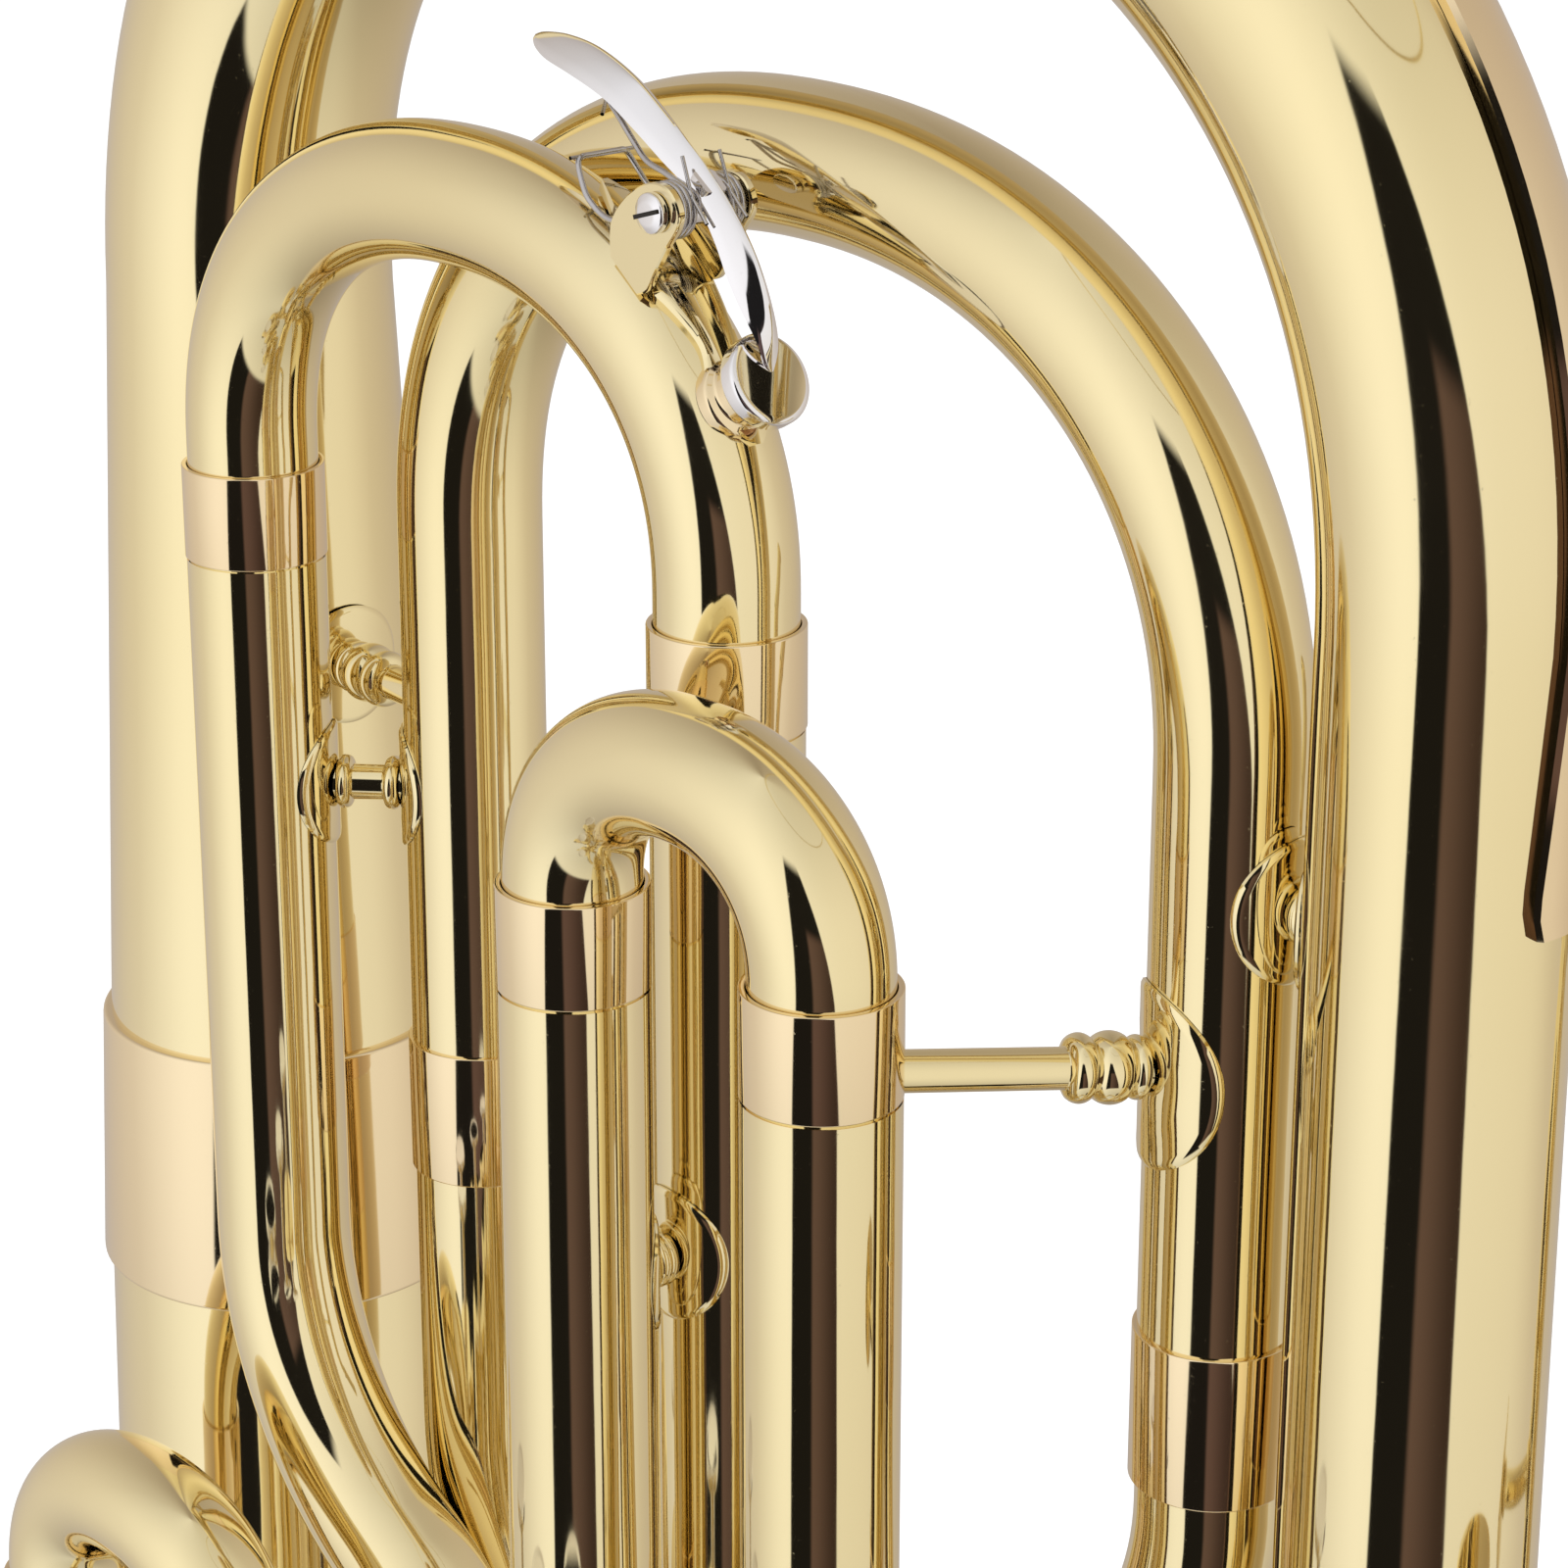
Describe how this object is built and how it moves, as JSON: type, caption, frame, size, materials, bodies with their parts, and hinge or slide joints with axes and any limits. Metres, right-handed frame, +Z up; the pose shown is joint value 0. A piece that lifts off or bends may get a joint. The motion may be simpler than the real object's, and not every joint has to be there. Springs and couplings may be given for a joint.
{
  "type": "baritone horn",
  "caption": "Three-valve brass baritone horn with an upright bell, four pull-out slides, sprung pistons and a sprung water key.",
  "frame": {"origin": "on the middle valve's axis, at the height of the hand grip", "axes": "+Z up along the valves towards the bell's mouth, +X from the valves towards the bell, +Y towards the player"},
  "size_m": [0.378, 0.2388, 0.6487],
  "materials": {
    "lacquered_brass": "clear gold lacquer over polished brass",
    "rose_ferrule": "clear lacquer over polished brass of a rosier tone",
    "nickel_plate": "polished nickel plate",
    "nickel_silver": "drawn nickel silver",
    "spring_steel": "bright spring wire",
    "cork": "pressed cork"
  },
  "bodies": {
    "horn": {"bell": "lacquered_brass", "bell_rim_wire": "lacquered_brass", "bottom_bow": "lacquered_brass", "bottom_bow_guard": "lacquered_brass", "body_ferrules": "rose_ferrule", "left_branch_upper": "lacquered_brass", "left_branch_lower": "lacquered_brass", "top_bow": "lacquered_brass", "top_bow_guard": "rose_ferrule", "right_branch": "lacquered_brass", "middle_bow": "lacquered_brass", "middle_bow_ferrules": "rose_ferrule", "low_bow": "lacquered_brass", "return_bow": "lacquered_brass", "tuning_feed_tube": "lacquered_brass", "tuning_return_tube": "lacquered_brass", "tuning_ferrules": "rose_ferrule", "first_slide_sleeves": "lacquered_brass", "second_slide_sleeves": "lacquered_brass", "third_slide_sleeves": "lacquered_brass", "valve_slide_ferrules": "rose_ferrule", "valve_casing_1": "lacquered_brass", "valve_casing_2": "lacquered_brass", "valve_casing_3": "lacquered_brass", "valve_top_caps": "lacquered_brass", "valve_bottom_caps": "lacquered_brass", "crossover_tubes": "lacquered_brass", "leadpipe": "lacquered_brass", "mouthpiece_receiver": "lacquered_brass", "thumb_ring": "lacquered_brass", "first_brace": "lacquered_brass", "tuning_brace": "lacquered_brass", "right_brace": "lacquered_brass", "feed_brace": "lacquered_brass", "left_brace": "lacquered_brass", "bell_brace": "lacquered_brass", "leadpipe_brace": "lacquered_brass", "valve_spring_1": "spring_steel", "valve_spring_2": "spring_steel", "valve_spring_3": "spring_steel"},
    "tuning_slide": {"tuning_slide_bow": "lacquered_brass", "tuning_slide_legs": "nickel_silver", "water_key_nipple": "lacquered_brass", "water_key_saddle": "lacquered_brass", "water_key_screw": "nickel_plate", "water_key_spring": "spring_steel"},
    "water_key": {"water_key_lever": "nickel_plate", "water_key_cork": "cork"},
    "first_slide": {"first_slide_bow": "lacquered_brass", "first_slide_legs": "nickel_silver"},
    "second_slide": {"second_slide_bow": "lacquered_brass", "second_slide_legs": "nickel_silver"},
    "third_slide": {"third_slide_bow": "lacquered_brass", "third_slide_legs": "nickel_silver"},
    "valve_1": {"piston_1": "nickel_plate", "button_1": "nickel_plate"},
    "valve_2": {"piston_2": "nickel_plate", "button_2": "nickel_plate"},
    "valve_3": {"piston_3": "nickel_plate", "button_3": "nickel_plate"}
  },
  "joints": [
    {"name": "tuning_pull", "type": "slide", "parent": "horn", "child": "tuning_slide", "axis": [0, 0, 1], "range_m": [0, 0.03]},
    {"name": "water_key_pivot", "type": "hinge", "parent": "tuning_slide", "child": "water_key", "pos_m": [0.0054, 0.0518, 0.24501], "axis": [0, -1, 0], "range_deg": [0, 9], "stiffness_Nm_per_rad": 0.05, "springref_deg": -20.05},
    {"name": "first_slide_pull", "type": "slide", "parent": "horn", "child": "first_slide", "axis": [0, 0, 1], "range_m": [0, 0.045]},
    {"name": "second_slide_pull", "type": "slide", "parent": "horn", "child": "second_slide", "axis": [0, -1, 0], "range_m": [0, 0.012]},
    {"name": "third_slide_pull", "type": "slide", "parent": "horn", "child": "third_slide", "axis": [0, 0, 1], "range_m": [0, 0.015]},
    {"name": "valve_1_press", "type": "slide", "parent": "horn", "child": "valve_1", "axis": [0, 0, -1], "range_m": [0, 0.017], "stiffness_N_per_m": 150, "springref_m": -0.012, "deforming": ["valve_spring_1"]},
    {"name": "valve_2_press", "type": "slide", "parent": "horn", "child": "valve_2", "axis": [0, 0, -1], "range_m": [0, 0.017], "stiffness_N_per_m": 150, "springref_m": -0.012, "deforming": ["valve_spring_2"]},
    {"name": "valve_3_press", "type": "slide", "parent": "horn", "child": "valve_3", "axis": [0, 0, -1], "range_m": [0, 0.017], "stiffness_N_per_m": 150, "springref_m": -0.012, "deforming": ["valve_spring_3"]}
  ]
}
